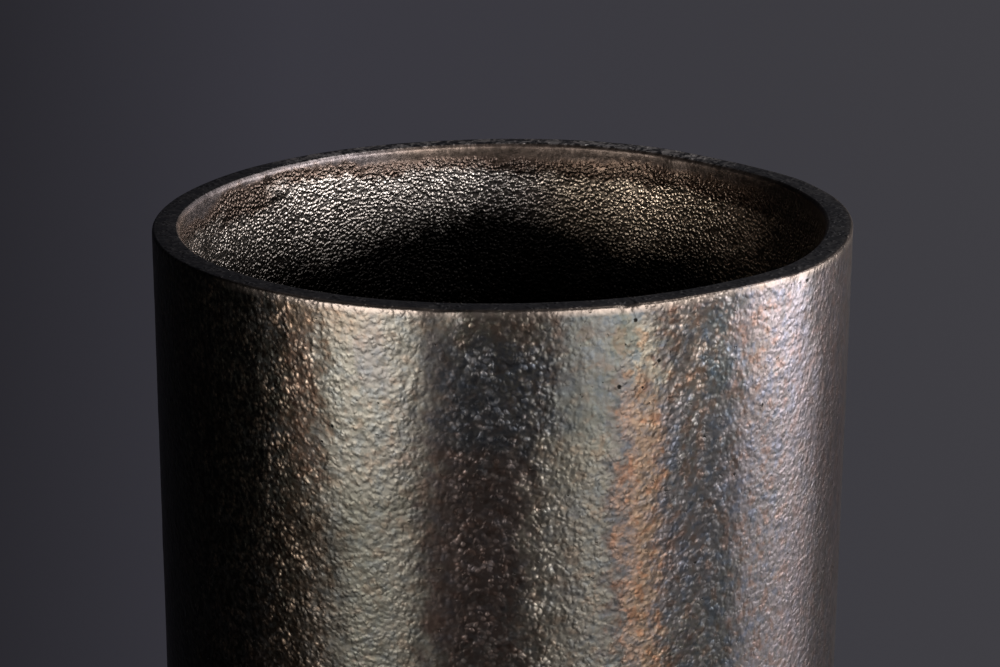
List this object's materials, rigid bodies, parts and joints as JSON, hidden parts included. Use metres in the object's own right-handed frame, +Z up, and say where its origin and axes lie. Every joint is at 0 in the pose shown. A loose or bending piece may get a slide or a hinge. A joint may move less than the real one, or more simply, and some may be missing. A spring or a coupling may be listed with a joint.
{
  "type": "metal vase",
  "caption": "Tall cylindrical cast metal vase with a rough dark skin, a rounded rim and a ground lip band, closed at the foot by a brazed base plate on felt pads.",
  "frame": {"origin": "centre of the resting plane under the felt pads, on the axis of the tube", "axes": "+Z up along the axis of the tube towards the mouth; -Y is the side that faces the viewer of the picture"},
  "size_m": [0.12, 0.12, 0.28],
  "materials": {
    "cast_iron_skin": "sand-cast skin, blackened and heat tinted, burnished on its high spots",
    "blackened_plate": "turned steel, blackened",
    "braze_bronze": "brazing bronze as run, dulled by flux",
    "seal_compound": "black sealing compound, tooled by finger",
    "pad_felt": "pressed wool felt"
  },
  "bodies": {
    "root": {"cast_body": "cast_iron_skin", "base_plate": "blackened_plate", "braze_fillet": "braze_bronze", "seal_bead": "seal_compound", "felt_pad_1": "pad_felt", "felt_pad_2": "pad_felt", "felt_pad_3": "pad_felt", "felt_pad_4": "pad_felt"}
  },
  "joints": []
}
